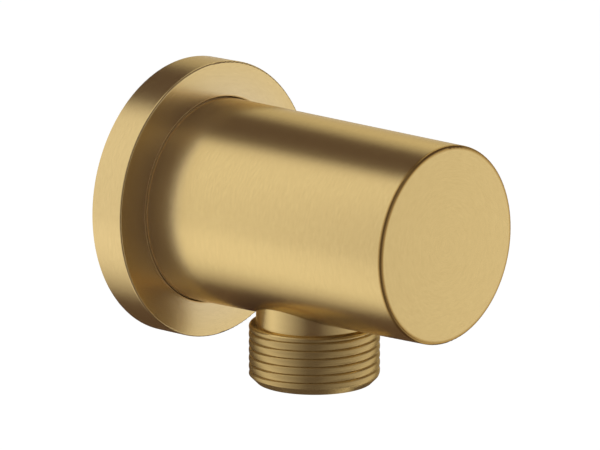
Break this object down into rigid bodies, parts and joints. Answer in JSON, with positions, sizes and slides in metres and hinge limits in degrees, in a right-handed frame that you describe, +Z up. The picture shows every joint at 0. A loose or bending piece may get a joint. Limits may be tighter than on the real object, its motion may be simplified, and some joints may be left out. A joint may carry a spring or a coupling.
{
  "type": "wall outlet elbow",
  "caption": "Round wall outlet elbow in brushed gold: a flat escutcheon, a tapered closed barrel and a threaded outlet underneath that feeds a shower hose.",
  "frame": {"origin": "on the inlet's axis, in the wall plane that the escutcheon's back lies in", "axes": "+Y into the wall along the inlet, so the barrel stands out along -Y; +Z up; the outlet points along -Z"},
  "size_m": [0.045, 0.0659, 0.0489],
  "materials": {
    "brushed_gold": "brushed satin",
    "turned_gold": "turned satin",
    "plain_brass": "turned, uncoated",
    "black_rubber": "matt"
  },
  "bodies": {
    "root": {"elbow_body": "brushed_gold", "outlet_nipple": "turned_gold", "wall_escutcheon": "brushed_gold", "inlet_nipple": "plain_brass", "inlet_seal": "black_rubber", "outlet_seal": "black_rubber", "escutcheon_o_ring": "black_rubber", "wall_seal": "black_rubber"}
  },
  "joints": []
}
